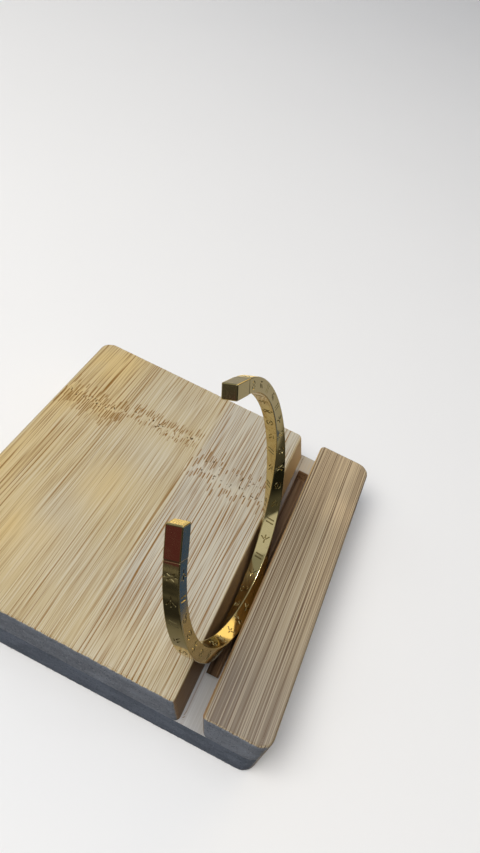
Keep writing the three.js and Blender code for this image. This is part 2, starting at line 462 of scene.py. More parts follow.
def groove_wall_and_shade(m, colour, normal, thin, tone, lit_far_tone, faces):
    """A groove wall's tone, partly its own colour and partly painted shade, made lighter towards
    the far end as painted light; the wall faces +x or -x.
    """
    wall_tone_and_shade = m.mix(m.ramp(thin, 0.4, 0.65, 0.0, 0.35), rgb(tone), rgb(tone, 0.8))
    wall_tone_and_shade = m.mix(m.ramp(m.component(m.coordinates(), 1), 0.0, 0.048), wall_tone_and_shade, rgb(lit_far_tone))
    toward = m.times(m.component(normal, 0), float(faces))
    return m.mix(m.ramp(toward, 0.45, 0.85), colour, wall_tone_and_shade)


def bamboo(name, ground, gold, grey, brown, pale, end=(102, 106, 113), side=None,
           wall_tone_and_shade=None, wall_faces=1, lit_far_wall=(205, 172, 118), pitch=1.15, share=0.85,
           sway=0.0012, length=30, sharp=(0.35, 0.98)):
    """Bamboo with its grain along y. Thin brown lines lie pitch millimetres apart, as strong as
    share says. Upright end faces show end grain in a dark bluish grey, partly painted shade, and a
    groove wall and the long upright sides may have their own tone; the groove wall's tone is
    partly painted shade, lighter towards the far end as painted light. sway is in metres, and
    length and sharp shape the lines."""
    m = Material(name, IOR=1.45, Specular_IOR_Level=0.3)
    normal = m.coordinates("Normal")
    place = m.swaying(sway)
    thin = m.noise((3400, 1.5 * length, 3400), place=place)
    hair = m.noise((8000, 90, 8000), 1, place=place)
    broad = m.noise((420, 5, 420), 1, place=place)
    patch = m.noise((90, 40, 90), 2, 0.5, 0.4)
    calm = m.attribute("calm")
    upright = m.ramp(m.math("ABSOLUTE", m.component(normal, 0)), 0.5, 0.9)
    strength = m.ramp(upright, 0.0, 1.0, share, max(share, 0.9))
    rows = m.times(m.rows(place, pitch, length, sharp), strength)
    lines = m.math("MAXIMUM", m.minus(rows, m.times(calm, 0.7)), 0.0)
    faint = m.times(m.ramp(thin, 0.54, 0.66, 0.0, 0.45), strength)
    marks = m.ramp(m.attribute("fibre"), 0.12, 0.5, 0.0, 0.9)

    # the grey, gold and pale attributes bring the bamboo's own tones and, in places, painted light
    # and shade
    colour = m.mix(m.attribute("grey"), rgb(ground), rgb(grey))
    if side:
        colour = m.mix(upright, colour, rgb(side))
    for amount, tone in (
            (m.ramp(broad, 0.46, 0.68, 0.0, 0.10), rgb(brown)),
            (m.ramp(thin, 0.46, 0.34, 0.0, 0.55), rgb(pale)),
            (m.ramp(hair, 0.35, 0.70, 0.16, 0.0), rgb(pale)),
            (m.ramp(m.attribute("pale"), 0.1, 1.0, 0.0, 0.45), rgb(pale)),
            (m.times(m.attribute("gold"), m.ramp(patch, 0.3, 0.6, 0.6, 1.0)), rgb(gold)),
            (m.times(faint, m.minus(1.0, calm)), rgb(brown)),
            (m.math("MAXIMUM", lines, marks), rgb(brown)),
            (m.ramp(m.attribute("pit"), 0.2, 0.5), rgb(brown, 0.6))):
        colour = m.mix(amount, colour, tone)
    if wall_tone_and_shade:
        colour = groove_wall_and_shade(m, colour, normal, thin, wall_tone_and_shade, lit_far_wall, wall_faces)

    wobble = m.noise((1500, 1500, 1500), 3, 0.6)
    on_end = m.plus(m.math("ABSOLUTE", m.component(normal, 1)), m.times(wobble, 0.4))
    mask = m.ramp(on_end, 0.74, 1.0)
    m.set(Base_Color=end_grain_and_shade(m, colour, end, mask, wobble),
          Roughness=m.ramp(mask, 0, 1, 0.48, 0.85))
    height = m.minus(m.times(hair, 0.4), m.times(lines, 0.9))
    m.bump(m.plus(height, m.times(m.times(wobble, mask), 1.2)), 0.00005, 0.6)
    return m.mat


# ---------------- deck

outer = edge_levels(BOARD, TOP, GLUE, EASE)
SEAM_A, SEAM_B = -27.6, -3.4     # the deck's three strips meet here
DECK_COLUMNS = 371
STRIPS = ((-50, SEAM_A), (SEAM_A, SEAM_B), (SEAM_B, 6), (6, 25))

# strip, pitch, offset from the node, spread, then ranges of length, width and tone, and sway
DECK_DASHES = (
    (0, 0.85, -2.3, 0.5, (3.2, 6.0), (0.12, 0.17), (0.8, 1.0), 0.12),
    (0, 1.0, -5.5, 1.2, (2, 5), (0.12, 0.18), (0.4, 0.8), 0.2),
    (0, 1.1, 3.0, 1.0, (2, 6), (0.12, 0.18), (0.5, 0.9), 0.2),
    (0, 0.9, 0.4, 0.6, (0.8, 2.2), (0.13, 0.2), (0.5, 1.0), 0.2),
    (1, 0.95, 2.6, 0.8, (2.4, 5.0), (0.12, 0.17), (0.6, 0.95), 0.15),
    (1, 1.0, -2.4, 0.7, (1.4, 3.2), (0.12, 0.17), (0.5, 0.85), 0.15),
    (2, 0.9, 4.6, 1.4, (2.5, 6.5), (0.12, 0.17), (0.8, 1.0), 0.1),
    (2, 0.9, -1.9, 0.8, (2.2, 5.0), (0.13, 0.18), (0.8, 1.0), 0.1),
    (3, 1.0, -3.6, 1.6, (1.5, 5.0), (0.13, 0.2), (0.7, 1.0), 0.1),
    (3, 1.1, 6.2, 1.2, (1.2, 3.0), (0.13, 0.19), (0.6, 0.9), 0.1),
)

# layer, count, range of x, offset from the node, spread, then ranges of width and height
DECK_PITS = (
    ("pit", 19, (-49.5, SEAM_A - 0.5), 0.2, 0.9, (0.18, 0.26), (0.22, 0.5)),
    ("pit", 12, (SEAM_A + 0.5, SEAM_B - 0.5), 0.0, 0.5, (0.22, 0.32), (0.3, 0.5)),
    ("fibre", 17, (SEAM_A + 1, SEAM_B - 1), 1.8, 0.5, (0.13, 0.17), (1.0, 1.9)),
    ("fibre", 10, (SEAM_A + 1, SEAM_B - 1), -1.4, 0.4, (0.12, 0.16), (0.6, 1.1)),
    ("pit", 26, (SEAM_B + 0.5, 24.0), 0.0, 0.7, (0.18, 0.28), (0.2, 0.42)),
    ("pit", 16, (0, 22), 4.2, 0.5, (0.16, 0.24), (0.2, 0.45)),
)


def node_line(x):
    """Where each strip's node band runs, as y over x."""
    first = 23.2 + 0.5 * np.sin(x / 5) + 0.3 * np.sin(x / 2.3 + 1)
    second = 25.6 + 0.6 * np.sin(x / 4 + 2) + 0.05 * x + 1.2
    third = 16.6 + 0.5 * np.sin(x / 3) + 0.3 * np.sin(x / 1.9)
    return np.where(x < SEAM_A, first, np.where(x < SEAM_B, second, third))


def deck_marks(g):
    """Seams, dashes on both sides of each strip's node, and pits along it."""
    def beside(offset):
        return lambda x: node_line(x) + offset

    for seam in (SEAM_A, SEAM_B):
        g.mark("fibre", seam, 0, RUN, 0.12, 0.45)
    for strip, pitch, offset, *ranges in DECK_DASHES:
        g.dashes(STRIPS[strip], pitch, beside(offset), *ranges)
    for layer, count, span, offset, *ranges in DECK_PITS:
        g.pits(layer, count, span, beside(offset), *ranges)


def deck_grain_and_sheen():
    g = GrainAndPaintedLight(-50, 27, du=0.1, dv=0.4, seed=41)
    layers = g.layers
    u, v = g.u[None, :], g.v[:, None]
    gap = v - node_line(u)
    layers["calm"] += 0.6 * np.exp(-((gap / 1.5) ** 2))
    g.blots("calm", (-19, -5, 9, 12, 0.45), (-31, -27, 9, 12, 0.5), (-46, -10, 5, 12, 0.3),
            (-44, 40, 7, 8, 0.5), (-15, 33, 10, 5, 0.3), (-40, 14, 9, 4, 0.45),
            (12, 13, 8, 3.5, 0.6), (-15, 17, 11, 5, 0.4))
    strips = np.where(u < SEAM_A, 0.0, np.where(u < SEAM_B, 0.34, 0.08))
    layers["calm"] = np.clip(layers["calm"] + strips, 0, 1)
    deck_marks(g)
    layers["pale"] += (0.4 * np.exp(-((gap / 1.4) ** 2)) * np.sin(u / 3.1) ** 2
                       + np.where(u > 3, 0.6, 0) * np.exp(-(((gap + 2.2) / 2.4) ** 2)))
    # gold patches: partly the bamboo's own golden tone and partly painted sheen of warm light
    g.blots("gold", (-40, 42, 8, 10, 0.9), (-47, 20, 5, 26, 0.7), (-20, -4, 7, 11, 0.55),
            (-30, -27, 11, 7, 0.5), (8, -42, 10, 6, 0.2), (-38, 22, 9, 6, 0.6),
            (-46, -14, 6, 12, 0.7), (-34, -38, 14, 10, 0.5))
    layers["gold"] += 0.3 * smooth((SEAM_A - u) / 6)
    layers["grey"] += smooth((u - SEAM_B) / 3) * (0.3 + 0.5 * smooth((v + 42) / 22))
    g.blots("grey", (-25, -18, 7, 10, 0.45), (-16, -30, 12, 9, 0.3), (-14, 12, 12, 8, 0.35),
            (-15, 40, 14, 10, 0.3))
    return g


DECK_GRAIN_AND_SHEEN = deck_grain_and_sheen()


def deck_relief(x, y):
    """Fibres and pits sunk by a few hundredths, and each strip's node a little raised."""
    grain_and_light = DECK_GRAIN_AND_SHEEN.sample(x, y)
    swell = 0.05 * np.exp(-(((y - node_line(x)) / 3.0) ** 2))
    depth = 0.04 * grain_and_light["fibre"] + 0.07 * grain_and_light["pit"] + 0.08 - swell
    return np.clip(depth, 0, None), grain_and_light


deck_mat = bamboo("bamboo_deck", ground=(190, 173, 134), gold=(207, 183, 130),
                  grey=(184, 179, 166), brown=(132, 92, 28), pale=(207, 199, 176),
                  wall_tone_and_shade=(128, 100, 68), share=1.0, sharp=(0.52, 0.99))
deck_slot = edge_levels(BOARD, TOP, GLUE, DECK_EASE, SLOT_L, 1, DECK_LEAN)
# rows along the deck lie closer where the nodes are
deck_rows = np.concatenate([np.linspace(0, 0.60, 44), np.linspace(0.60, 0.79, 46)[1:],
                            np.linspace(0.79, 1, 17)[1:]])
deck = build_board("deck_board", (-EDGE_X, CORNER_R, outer), (SLOT_L, GROOVE_END_R, deck_slot),
                   outer, deck_rows, np.linspace(0, 1, DECK_COLUMNS), deck_relief, [deck_mat])
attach(deck, "root")
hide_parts("stand_deck")


# ---------------- bar

BAR_ROWS, BAR_COLUMNS = 78, 121


def bar_grain_and_light():
    g = GrainAndPaintedLight(30, 50, du=0.1, dv=1.0, seed=7)
    layers = g.layers
    u, v = g.u[None, :], g.v[:, None]
    for x in (33.2, 37.9, 43.1, 46.6):
        g.mark("fibre", x, 0, RUN, 0.14, 0.55, 0.05)
    # greyer towards the groove; the darker grey over the near end is painted shade
    layers["grey"] += 0.25 * smooth((42 - u) / 8) + 0.8 * smooth((-12 - v) / 34)
    g.blots("gold", (47, 10, 4, 30, 0.4))
    # the lighter, golder far end is painted light
    layers["gold"] += 0.8 * smooth((v - 14) / 16)
    layers["calm"] += 0.6 * smooth((-14 - v) / 24)
    # the pale band on the eased right edge is a painted highlight
    layers["pale"] += 0.7 * smooth((u - 48.2) / 0.9)
    return g


BAR_GRAIN_AND_LIGHT = bar_grain_and_light()


def bar_relief(x, y):
    grain_and_light = BAR_GRAIN_AND_LIGHT.sample(x, y)
    return 0.04 + 0.05 * grain_and_light["fibre"], grain_and_light


bar_mat = bamboo("bamboo_bar", ground=(158, 142, 112), gold=(199, 176, 140), grey=(106, 92, 77),
                 brown=(88, 62, 34), pale=(174, 162, 140), wall_tone_and_shade=(150, 118, 82), wall_faces=-1,
                 pitch=0.68, share=0.95, sway=0.0003, length=7)
bar_slot = edge_levels(BOARD, TOP, GLUE, BAR_EASE, SLOT_R, -1, BAR_LEAN)
bar = build_board("bar_board", (SLOT_R, GROOVE_END_R, bar_slot), (EDGE_X, CORNER_R, outer),
                  outer, np.linspace(0, 1, BAR_ROWS), np.linspace(0, 1, BAR_COLUMNS), bar_relief,
                  [bar_mat])
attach(bar, "root")
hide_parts("stand_bar")


# ---------------- base

POCKET_X, POCKET_Y, POCKET_DEPTH = (28.7, 32.2), (-35.5, 42.8), 4.0


def base_grain_and_shade():
    """One joint line, and tones for the groove's floor: a painted shadow in dark brown beside the
    pocket, and warmer at its far end."""
    g = GrainAndPaintedLight(-50, 50, du=0.25, dv=1.0, seed=19)
    u, v = g.u[None, :], g.v[:, None]
    g.mark("fibre", 28.2, 0, RUN, 0.14, 0.7)
    # painted shadow in the slot beside the pocket
    g.layers["gold"] += smooth((u - 24) / 1.5) * (smooth((v + 34) / 10) * smooth((43 - v) / 1.5))
    g.layers["grey"] += smooth((v - 40) / 4)
    return g


BASE_GRAIN_AND_SHADE = base_grain_and_shade()


def base_relief(x, y):
    grain_and_light = BASE_GRAIN_AND_SHADE.sample(x, y)
    return 0.03 * grain_and_light["fibre"], grain_and_light


def grid_lines(*stretches):
    """Places along an axis, each stretch given by its start, end and count."""
    return np.unique(np.round(np.concatenate([np.linspace(*s) for s in stretches]), 6))


def nearest(lines, place):
    return int(np.argmin(np.abs(lines - place)))


base_x = grid_lines((-EDGE_X, 26, 90), (26, POCKET_X[0], 10), (*POCKET_X, 10),
                    (POCKET_X[1], 35, 8), (35, EDGE_X, 18))
base_y = grid_lines((-STRAIGHT, POCKET_Y[0], 14), (*POCKET_Y, 62), (POCKET_Y[1], STRAIGHT, 6))
pocket_cells = (*(nearest(base_y, y) + CORNER_STEPS for y in POCKET_Y),
                *(nearest(base_x, x) for x in POCKET_X))
pocket_floor = BOARD - POCKET_DEPTH
pocket_steps = ((0.06, BOARD - 0.12), (0.1, BOARD - 1.2), (0.1, pocket_floor + 0.5),
                (0.22, pocket_floor + 0.15), (0.5, pocket_floor))
# the base's grey top is painted shade and reflection on the groove floor, and its gold tone is the
# dark brown of the painted shadow beside the pocket; its upright sides get the bamboo's own tone
base_mat = bamboo("bamboo_base", ground=(168, 168, 166), gold=(84, 62, 42), grey=(186, 175, 153),
                  # the base's end faces: dark bluish grey, partly painted shade
                  brown=(122, 101, 82), pale=(176, 176, 174), end=(84, 90, 100),
                  side=(172, 152, 118), share=0.08)
# the pocket's darker brown is partly painted shade in the recess, and its walls are lighter towards
# the far end as painted light
pocket_mat = bamboo("bamboo_pocket", ground=(120, 94, 68), gold=(140, 108, 74),
                    grey=(146, 118, 90), brown=(88, 64, 42), pale=(146, 120, 92),
                    end=(132, 104, 74), wall_tone_and_shade=(110, 84, 58), lit_far_wall=(176, 142, 106))
base_edge = edge_levels(0.0, BOARD, EASE, GLUE)
base = build_board("base_board", (-EDGE_X, CORNER_R, base_edge), (EDGE_X, CORNER_R, base_edge),
                   base_edge, (base_y + STRAIGHT) / (2 * STRAIGHT), (base_x + EDGE_X) / STAND_X,
                   base_relief, [base_mat, pocket_mat], (pocket_cells, pocket_steps), True)
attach(base, "root")
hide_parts("stand_base")


# ---------------- the cuff's bent and twisted bar

BAR, TIP, TIP_LENGTH, NECK = 3.91, 4.02, 8.0, 3.82
RIDGE_R, END_R = 0.30, 0.4       # rounding of the four ridges and of the tips' ends
BACK_R, BACK_HALF = 34.9, radians(25.8)   # the back arc's radius and half its angle
SIDE_R, SIDE_ARC = 31.3, radians(112.5)
TWIST_LENGTH, TWIST_SHIFT = 66.0, 2.7
LEAN, TURN, YAW = radians(22.6), radians(16.8), radians(1)  # how the cuff is seated
MIDDLE = np.array([29.27, -2.79, 12.59])  # where the middle of the bar lies
BACK_LENGTH, SIDE_LENGTH = BACK_R * BACK_HALF, SIDE_R * SIDE_ARC
HALF_LENGTH = BACK_LENGTH + SIDE_LENGTH + TIP_LENGTH
BAND_END = HALF_LENGTH - TIP_LENGTH
BAND_STOP = BAND_END - 0.1       # the engraved band stops just short of the neck
HALF_BAR, HALF_TIP, HALF_NECK = BAR / 2, TIP / 2, NECK / 2


def centre_line(s):
    """Centre line of the bar in the cuff's own plane: back arc, side arcs, straight ends."""
    side = np.where(s < 0, -1.0, 1.0)
    t = np.abs(s)
    a1 = np.minimum(t, BACK_LENGTH) / BACK_R
    a2 = a1 + np.clip(t - BACK_LENGTH, 0, SIDE_LENGTH) / SIDE_R
    run = np.maximum(t - BACK_LENGTH - SIDE_LENGTH, 0)
    x = BACK_R * np.sin(a1) + SIDE_R * (np.sin(a2) - np.sin(a1)) + run * np.cos(a2)
    y = BACK_R * (1 - np.cos(a1)) + SIDE_R * (np.cos(a1) - np.cos(a2)) + run * np.sin(a2)
    return side * x, y, side * a2


def turned(angle):
    return np.array([[cos(angle), -sin(angle), 0], [sin(angle), cos(angle), 0], [0, 0, 1]])


TILTED = np.array([[0, -sin(LEAN), cos(LEAN)], [1, 0, 0], [0, cos(LEAN), sin(LEAN)]])
SEAT = turned(YAW) @ TILTED @ turned(TURN)


def section_vector(s, p, r):
    """A direction (p, r) of the bar's square section, as a vector of the stand's frame."""
    _, _, heading = centre_line(s)
    twist = -pi / 2 * np.sin(pi / 2 * np.clip((s - TWIST_SHIFT) / TWIST_LENGTH, -1, 1))
    inward = p * np.cos(twist) - r * np.sin(twist)
    sideways = p * np.sin(twist) + r * np.cos(twist)
    local = np.stack([inward * np.sin(heading), -inward * np.cos(heading), sideways], -1)
    return local @ SEAT.T


def cuff_point(s, p, r):
    x, y, _ = centre_line(s)
    return np.stack([x, y, np.zeros_like(x)], -1) @ SEAT.T + section_vector(s, p, r) + MIDDLE


# The section has four flat sides, 0 to 3, and a ridge after each. Faces are tagged by what
# shades them: 0 to 3 for a flat side, 4 to 7 for a ridge, and these two for flat shading.
DIRS = ((1, 0), (0, 1), (-1, 0), (0, -1))
ENGRAVED, CREASED = 8, 9
RIDGE_STEPS, END_STEPS = 4, 4


def on_side(k, height, along):
    """Section place (p, r) on flat side k: its height from the axis and its place along it."""
    d, t = DIRS[k], DIRS[(k + 1) % 4]
    return height * d[0] + along * t[0], height * d[1] + along * t[1]


def on_ridge(k, height, radius, step):
    """Section place on the rounded ridge after side k, at one of its steps."""
    a = pi / 2 * step / RIDGE_STEPS
    d, e = DIRS[k], DIRS[(k + 1) % 4]
    return tuple((height - radius) * (d[i] + e[i]) + radius * (cos(a) * d[i] + sin(a) * e[i])
                 for i in (0, 1))


class Skin:
    """The bar's surface in section space (s, p, r), gathered bit by bit."""

    def __init__(self):
        self.points, self.faces, self.tags, self.count = [], [], [], 0

    def add(self, points, faces, tags):
        self.points.append(np.asarray(points, float))
        self.faces += [[self.count + v for v in face] for face in faces]
        self.tags += tags
        self.count += len(points)

    def welded(self):
        """Points without doubles, and the faces on them."""
        points = np.concatenate(self.points)
        _, index, back = np.unique(np.round(points, 5), axis=0, return_index=True,
                                   return_inverse=True)
        back = back.reshape(-1)
        return points[index], [[int(back[v]) for v in face] for face in self.faces]


# ---------------- engraved motifs

STROKE, STROKE_DEPTH = 0.2, 0.15  # a stroke's half width at the surface, and its depth
BED_SHARE = 0.3                  # width of a stroke's bed, as a share of its width on top
RIM_SPACE = 0.16                 # room that grid points leave round a stroke
MOTIF_SIZE = 1.36
CELLS = 28                       # motifs along each side
CELL_STEPS, SIDE_STEPS = 10, 4   # grid steps along and across a cell


def capsule(path, half):
    """Outline of a stroke along a path, with round ends."""
    path = np.asarray(path, float)
    d = np.gradient(path, axis=0)
    d /= np.linalg.norm(d, axis=1)[:, None]
    n = np.stack([-d[:, 1], d[:, 0]], 1)
    a = np.linspace(0, pi, 6)[1:-1, None]
    ends = [centre + half * (np.cos(a) * out + np.sin(a) * ahead)
            for centre, ahead, out in ((path[-1], d[-1], n[-1]), (path[0], -d[0], -n[0]))]
    return np.concatenate([path + n * half, ends[0], (path - n * half)[::-1], ends[1]])[::-1]


def arc(cx, cy, radius, a0, a1, steps):
    a = np.radians(np.linspace(a0, a1, steps))
    return np.stack([cx + radius * np.cos(a), cy + radius * np.sin(a)], 1)


def line(x0, y0, x1, y1):
    return np.array([[x0, y0], [(x0 + x1) / 2, (y0 + y1) / 2], [x1, y1]])


# Small generic motifs, each a few strokes drawn as (u along the bar, w across it).
MOTIFS = [
    [line(-0.85, 0, -0.28, 0), line(-0.02, 0.26, 0.50, 0.78), line(-0.02, -0.26, 0.50, -0.78),
     line(0.22, 0, 0.80, 0)],
    [arc(0, 0, 0.68, 25, 155, 7), arc(0, 0, 0.68, 205, 335, 7), line(-0.14, 0, 0.14, 0)],
    [line(-0.62, -0.7, -0.12, 0.72), line(0.16, -0.72, 0.64, 0.7)],
    [arc(-0.95, 0, 0.72, -52, 52, 6), arc(0.95, 0, 0.72, 128, 232, 6), line(0, 0.82, 0, 1.02),
     line(0, -0.82, 0, -1.02)],
    [line(-0.75, 0.42, -0.2, -0.12), line(0.05, 0.38, 0.6, -0.16), line(-0.35, -0.62, 0.2, -0.62)],
]


def inside(points, loop):
    """Which points lie in a closed loop."""
    x, y = points[:, 0], points[:, 1]
    x0, y0 = loop[:, 0], loop[:, 1]
    x1, y1 = np.roll(x0, -1), np.roll(y0, -1)
    hit = ((y0 > y[:, None]) != (y1 > y[:, None])) & (
        x[:, None] < (x1 - x0) * (y[:, None] - y0) / (y1 - y0 + 1e-30) + x0)
    return hit.sum(1) % 2 == 1


def cell_surface(length, half, rims):
    """Flat triangles over a cell, round the rims of its strokes."""
    def crowded(place):
        return any(inside(place[None], rim)[0]
                   or np.linalg.norm(rim - place, axis=1).min() < RIM_SPACE for rim in rims)

    given = []
    for u in np.linspace(0, length, CELL_STEPS + 1):
        for w in np.linspace(-half, half, SIDE_STEPS + 1):
            on_edge = min(u, length - u, half - abs(w)) < 1e-9
            if on_edge or not crowded(np.array([u, w])):
                given.append((u, w))
    edges = []
    for rim in rims:
        first = len(given)
        given.extend(map(tuple, rim))
        edges += [(first + i, first + (i + 1) % len(rim)) for i in range(len(rim))]
    cut = geometry.delaunay_2d_cdt([Vector(p) for p in given], edges, [], 0, 1e-7)
    # the triangulation rounds its points, so each goes back to the given point beside it
    given = np.array(given)
    rounded = np.array([tuple(p) for p in cut[0]])
    points = given[np.abs(rounded[:, None] - given).sum(2).argmin(1)]
    faces = np.array([f for f in cut[2] if len(f) == 3])
    middles = points[faces].mean(1)
    faces = faces[~np.any([inside(middles, rim) for rim in rims], axis=0)]
    a, b, c = (points[faces[:, i]] for i in range(3))
    area = (b[:, 0] - a[:, 0]) * (c[:, 1] - a[:, 1]) - (b[:, 1] - a[:, 1]) * (c[:, 0] - a[:, 0])
    faces[area < 0] = faces[area < 0][:, ::-1]
    return np.column_stack([points, np.zeros(len(points))]), faces.tolist()


def engraved_cell(length, half, strokes):
    """One motif's stretch of a flat side: its points (u, w, depth), flat faces and cut faces."""
    strokes = [MOTIF_SIZE * path + [length / 2, 0] for path in strokes]
    rims = [capsule(path, STROKE) for path in strokes]
    points, flat = cell_surface(length, half, rims)
    cut = []
    for path, rim in zip(strokes, rims):
        first, n = len(points), len(rim)
        bed = capsule(path, STROKE * BED_SHARE)
        points = np.concatenate([points, np.column_stack([rim, np.zeros(n)]),
                                 np.column_stack([bed, np.full(n, STROKE_DEPTH)])])
        x, y = rim.T
        order = 1 if np.sum(x * np.roll(y, -1) - y * np.roll(x, -1)) > 0 else -1
        for i in range(n):
            j = (i + 1) % n
            cut.append([first + i, first + j, first + n + j, first + n + i][::order])
        cut.append(list(range(first + n, first + 2 * n))[::order])
    return points, flat, cut


# ---------------- the cuff as one mesh

def add_flats(skin):
    """The engraved flat sides between the tips."""
    cell = 2 * BAND_STOP / CELLS
    blocks = [engraved_cell(cell, HALF_BAR - RIDGE_R, motif) for motif in MOTIFS]
    for k in range(4):
        for c in range(CELLS):
            points, flat, cut = blocks[(c * 2 + k + c // 5) % len(blocks)]
            u, w, depth = points.T
            placed = np.column_stack([-BAND_STOP + c * cell + u, *on_side(k, HALF_BAR - depth, w)])
            skin.add(placed, flat + cut, [k] * len(flat) + [ENGRAVED] * len(cut))


def add_ridges(skin):
    """The rounded ridges between the flat sides."""
    stations = np.linspace(-BAND_STOP, BAND_STOP, CELLS * CELL_STEPS + 1)
    n = RIDGE_STEPS + 1
    for k in range(4):
        points = [(s, *on_ridge(k, HALF_BAR, RIDGE_R, i)) for s in stations for i in range(n)]
        faces = [[j * n + i, (j + 1) * n + i, (j + 1) * n + i + 1, j * n + i + 1]
                 for j in range(len(stations) - 1) for i in range(RIDGE_STEPS)]
        skin.add(points, faces, [4 + k] * len(faces))


def section_loop(height, radius):
    """Closed loop of the section, and the tag of the flat side or ridge after each place."""
    loop, owner = [], []
    for k in range(4):
        for w in np.linspace(radius - height, height - radius, SIDE_STEPS + 1):
            loop.append(on_side(k, height, w))
            owner.append(k)
        for i in range(1, RIDGE_STEPS):
            loop.append(on_ridge(k, height, radius, i))
            owner.append(4 + k)
    return loop, owner


def tip_rings():
    """Sections from the band's end over the neck to the tip's rounded end: s, height, radius."""
    neck = ((0.04, HALF_NECK + 0.03, 0.26), (0.1, HALF_NECK, 0.25), (0.3, HALF_NECK, 0.25),
            (0.36, HALF_NECK + 0.03, 0.26), (0.48, HALF_TIP - 0.03, RIDGE_R),
            (0.54, HALF_TIP, RIDGE_R))
    straight = np.linspace(BAND_END + 1.5, HALF_LENGTH - END_R, 6)
    rings = [(BAND_STOP, HALF_BAR, RIDGE_R)]
    rings += [(BAND_END + s, height, radius) for s, height, radius in neck]
    rings += [(s, HALF_TIP, RIDGE_R) for s in straight]
    for i in range(1, END_STEPS + 1):
        a = pi / 2 * i / END_STEPS
        rings.append((HALF_LENGTH - END_R + END_R * sin(a), HALF_TIP - END_R * (1 - cos(a)),
                      RIDGE_R - 0.02 * i))
    return rings


def add_tip(skin, side):
    """A neck and a plain tip, at the end that side says."""
    rings = tip_rings()
    points, faces, tags = [], [], []
    for s, height, radius in rings:
        loop, owner = section_loop(height, radius)
        points += [(side * s, *place) for place in loop]
    n = len(owner)
    for j in range(len(rings) - 1):
        straight = rings[j][1] == rings[j + 1][1] == HALF_TIP
        for i in range(n):
            i2 = (i + 1) % n
            faces.append([j * n + i, j * n + i2, (j + 1) * n + i2, (j + 1) * n + i][::-side])
            on_flat = owner[i] == owner[i2] < 4
            tags.append((owner[i] if on_flat else 4 + owner[i] % 4) if straight else CREASED)
    last = (len(rings) - 1) * n
    faces.append(list(range(last, last + n))[::-side])
    tags.append(CREASED)
    skin.add(points, faces, tags)


def shade_cuff(mesh, params, tags):
    """Custom normals: those of the swept sides and ridges, and flat ones elsewhere."""
    s, p, r = params.T
    step = 0.01
    ahead = cuff_point(s + step, p, r) - cuff_point(s - step, p, r)

    def swept_normal(ids, section):
        out = section_vector(s[ids], section[:, 0], section[:, 1])
        tangent = section_vector(s[ids], -section[:, 1], section[:, 0])
        n = np.cross(tangent, ahead[ids])
        n /= np.linalg.norm(n, axis=1)[:, None]
        return n * np.sign(np.sum(n * out, 1))[:, None]

    faces = len(mesh.polygons)
    vertex = np.zeros(len(mesh.loops), np.int32)
    sizes = np.zeros(faces, np.int32)
    flat = np.zeros(faces * 3)
    mesh.loops.foreach_get("vertex_index", vertex)
    mesh.polygons.foreach_get("loop_total", sizes)
    mesh.polygons.foreach_get("normal", flat)
    normals = np.repeat(flat.reshape(-1, 3), sizes, 0)
    tag = np.repeat(tags, sizes)
    for k in range(4):
        ids = vertex[tag == k]
        normals[tag == k] = swept_normal(ids, np.tile(np.array(DIRS[k], float), (len(ids), 1)))
        ids = vertex[tag == 4 + k]
        corner = np.array(DIRS[k], float) + np.array(DIRS[(k + 1) % 4], float)
        height = np.where(np.abs(s[ids]) > BAND_END + 0.3, HALF_TIP, HALF_BAR)
        section = params[ids, 1:] - (height - RIDGE_R)[:, None] * corner
        section /= np.maximum(np.linalg.norm(section, axis=1), 1e-9)[:, None]
        normals[tag == 4 + k] = swept_normal(ids, section)
    mesh.normals_split_custom_set(normals.tolist())


def gold_plate():
    """Polished plate with faint scuffs."""
    m = Material("gold_plate", Metallic=1.0)
    cloud = m.noise((420, 420, 420), 3, 0.55)
    scuff = m.noise((5200, 900, 5200), 2, 0.6)
    m.set(Base_Color=m.mix(cloud, (0.60, 0.475, 0.20, 1), (0.69, 0.56, 0.26, 1)),
          Roughness=m.ramp(m.times(cloud, scuff), 0.12, 0.42, 0.07, 0.17))
    m.bump(m.plus(m.noise((700, 700, 700), 2), m.times(scuff, 0.04)), 0.000012, 0.5)
    return m.mat


def engraved_plate():
    """The same plate, duller, in the engraved strokes."""
    return Material("gold_engraved", Metallic=1.0, Roughness=0.15,
                    Base_Color=(0.46, 0.36, 0.15, 1)).mat


def build_cuff():
    skin = Skin()
    add_flats(skin)
    add_ridges(skin)
    for side in (-1, 1):
        add_tip(skin, side)
    params, faces = skin.welded()
    tags = np.array(skin.tags)
    obj = make_mesh("cuff_bangle", cuff_point(*params.T), faces,
                    [gold_plate(), engraved_plate()], tags == ENGRAVED)
    shade_cuff(obj.data, params, tags)
    return obj


cuff = build_cuff()
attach(cuff, "root")
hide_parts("cuff")


# ---------------- stage

scene = bpy.context.scene
scene.view_settings.view_transform = "Standard"
BLACK = (0, 0, 0, 1)


def hide_from(obj, *rays):
    """Leave an object out of these kinds of rays."""
    for ray in rays:
        setattr(obj, "visible_" + ray, False)


def glow(name, colour=BLACK):
    """A plain shining surface that reflects nothing."""
    return Material(name, Base_Color=BLACK, Roughness=1.0, Specular_IOR_Level=0.0,
                    Emission_Color=colour, Emission_Strength=1.0)


def add_floor():
    m = Material("pale_floor", Roughness=0.9)
    m.set(Base_Color=m.mix(m.noise((6, 6, 6), 2), (0.88, 0.88, 0.87, 1), (0.91, 0.91, 0.90, 1)))
    bpy.ops.mesh.primitive_plane_add(size=6)
    floor = bpy.context.object
    floor.name = "floor"
    floor.data.materials.append(m.mat)


